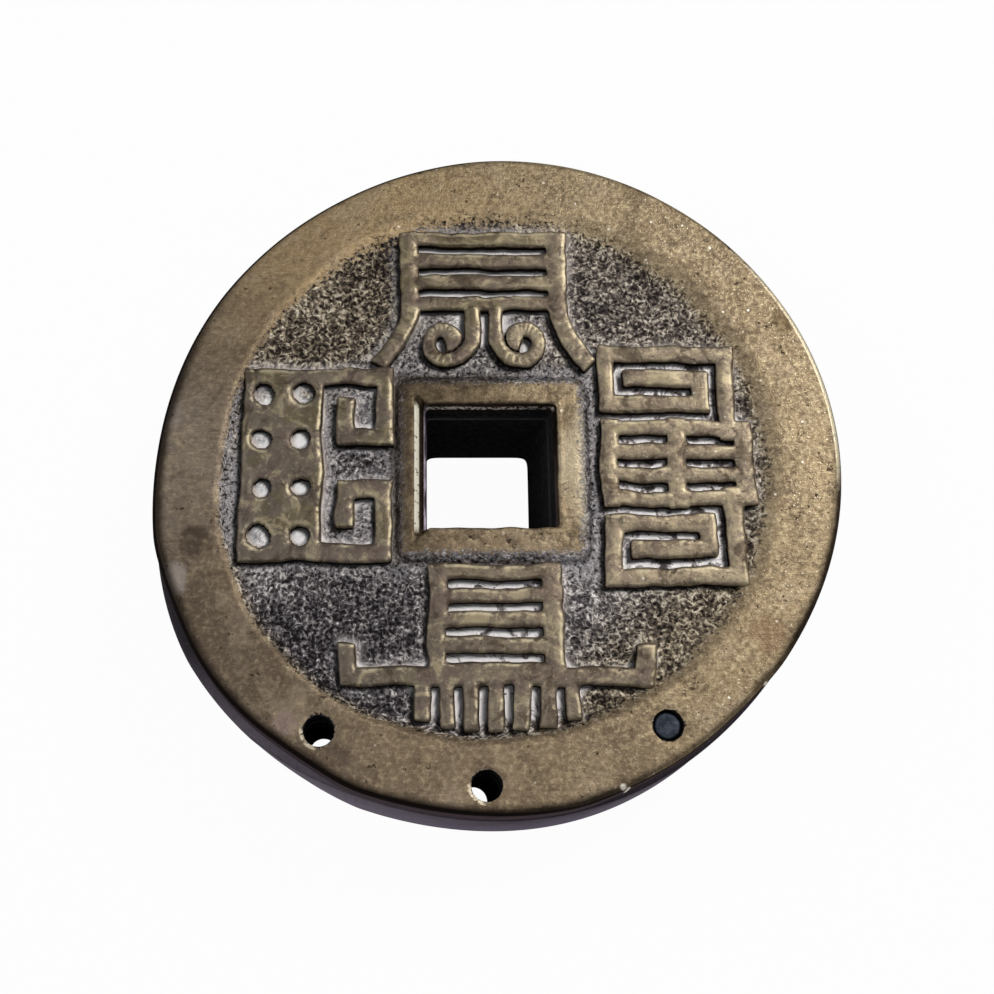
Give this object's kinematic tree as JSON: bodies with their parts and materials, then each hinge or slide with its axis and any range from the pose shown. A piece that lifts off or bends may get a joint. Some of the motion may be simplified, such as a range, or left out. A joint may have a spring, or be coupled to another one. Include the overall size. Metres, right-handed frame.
{
  "type": "cash coin",
  "caption": "Thick round decorative cash coin: a brass face plate with a raised rim, square opening and fret ornaments, bonded to a dark back disc, with small bores in the lower rim.",
  "frame": {"origin": "middle of the flat underside", "axes": "+Z out of the ornamented face, +Y towards the top of the face, +X to its right; the bores are near -Y"},
  "size_m": [0.06, 0.06, 0.013],
  "materials": {
    "brass_face": "worn cast brass with dark patina in the recesses",
    "dark_bond": "dark matt joining layer",
    "dark_back": "dark grey, faintly brushed",
    "steel_pin": "darkened steel"
  },
  "bodies": {
    "root": {"face_plate": "brass_face", "seam_layer": "dark_bond", "back_body": "dark_back", "rim_pin": "steel_pin"}
  },
  "joints": []
}
